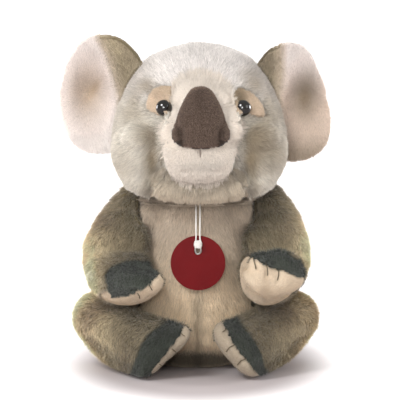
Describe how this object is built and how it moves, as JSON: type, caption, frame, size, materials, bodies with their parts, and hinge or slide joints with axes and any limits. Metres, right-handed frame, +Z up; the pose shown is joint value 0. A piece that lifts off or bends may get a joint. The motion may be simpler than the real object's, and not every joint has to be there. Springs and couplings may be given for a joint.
{
  "type": "plush koala",
  "caption": "Seated plush koala with stuffed head, body, arms and legs that give at their seams, cupped ears, bead eyes and a round hang tag on a cord loop.",
  "frame": {"origin": "middle of the flat seat under the body, on the surface that the toy sits on", "axes": "+Z up, the toy faces -Y, its own left is +X"},
  "size_m": [0.1968, 0.1407, 0.2424],
  "materials": {
    "head_plush": "short pale plush pile",
    "muzzle_plush": "short white plush pile",
    "chin_plush": "grey-brown plush pile",
    "nose_pile": "very short dark brown pile",
    "eye_plastic": "glossy, near black",
    "washer_plastic": "moulded, inside the head",
    "eye_patch_suede": "cream suede cloth",
    "ear_plush": "pale long plush pile",
    "olive_plush": "olive plush with pale tips",
    "dark_plush": "dark grey-green plush",
    "palm_suede": "sueded cloth",
    "belly_plush": "cream plush pile",
    "fibre_filling": "white polyester fibre",
    "pouch_cloth": "plain woven pouch of pellets",
    "tag_card": "glossy red on both faces, bare",
    "cord": "thin white cord"
  },
  "bodies": {
    "body": {"body_back": "olive_plush", "belly_left": "belly_plush", "belly_right": "belly_plush", "body_filling": "fibre_filling", "pellet_pouch": "pouch_cloth"},
    "head": {"head_skin": "head_plush", "head_filling": "fibre_filling", "muzzle": "muzzle_plush", "nose": "nose_pile", "chin": "chin_plush", "eye_left": "eye_plastic", "eye_right": "eye_plastic", "eye_washer_left": "washer_plastic", "eye_washer_right": "washer_plastic", "eye_patch_left": "eye_patch_suede", "eye_patch_right": "eye_patch_suede"},
    "ear_left": {"ear_front_left": "ear_plush", "ear_back_left": "olive_plush"},
    "ear_right": {"ear_front_right": "ear_plush", "ear_back_right": "olive_plush"},
    "arm_left": {"arm_left": "olive_plush", "hand_back_left": "dark_plush", "palm_left": "palm_suede", "arm_filling_left": "fibre_filling"},
    "arm_right": {"arm_right": "olive_plush", "hand_back_right": "dark_plush", "palm_right": "palm_suede", "arm_filling_right": "fibre_filling"},
    "leg_left": {"leg_left": "olive_plush", "foot_top_left": "dark_plush", "sole_left": "palm_suede", "leg_filling_left": "fibre_filling"},
    "leg_right": {"leg_right": "olive_plush", "foot_top_right": "dark_plush", "sole_right": "palm_suede", "leg_filling_right": "fibre_filling"},
    "tag": {"tag_disc": "tag_card", "tag_cord": "cord"}
  },
  "joints": [
    {"name": "neck_turn", "type": "hinge", "parent": "body", "child": "head", "pos_m": [0, 0, 0.123], "axis": [0, 0, 1], "range_deg": [-15, 15], "stiffness_Nm_per_rad": 0.6},
    {"name": "ear_left_flex", "type": "hinge", "parent": "head", "child": "ear_left", "pos_m": [0.056, 0.004, 0.19], "axis": [0, 0, 1], "range_deg": [-10, 10], "stiffness_Nm_per_rad": 0.05},
    {"name": "ear_right_flex", "type": "hinge", "parent": "head", "child": "ear_right", "pos_m": [-0.056, 0.004, 0.19], "axis": [0, 0, -1], "range_deg": [-10, 10], "stiffness_Nm_per_rad": 0.05},
    {"name": "shoulder_left", "type": "hinge", "parent": "body", "child": "arm_left", "pos_m": [0.0405, 0.005, 0.106], "axis": [-1, 0, 0], "range_deg": [0, 25], "stiffness_Nm_per_rad": 0.3},
    {"name": "shoulder_right", "type": "hinge", "parent": "body", "child": "arm_right", "pos_m": [-0.0405, 0.005, 0.106], "axis": [-1, 0, 0], "range_deg": [0, 25], "stiffness_Nm_per_rad": 0.3},
    {"name": "hip_left", "type": "hinge", "parent": "body", "child": "leg_left", "pos_m": [0.049, 0.01, 0], "axis": [0, 0, 1], "range_deg": [-3, 12], "stiffness_Nm_per_rad": 0.6},
    {"name": "hip_right", "type": "hinge", "parent": "body", "child": "leg_right", "pos_m": [-0.049, 0.01, 0], "axis": [0, 0, -1], "range_deg": [-3, 12], "stiffness_Nm_per_rad": 0.6},
    {"name": "tag_swing", "type": "hinge", "parent": "body", "child": "tag", "pos_m": [0, -0.04, 0.1205], "axis": [-1, 0, 0], "range_deg": [0, 60]}
  ]
}
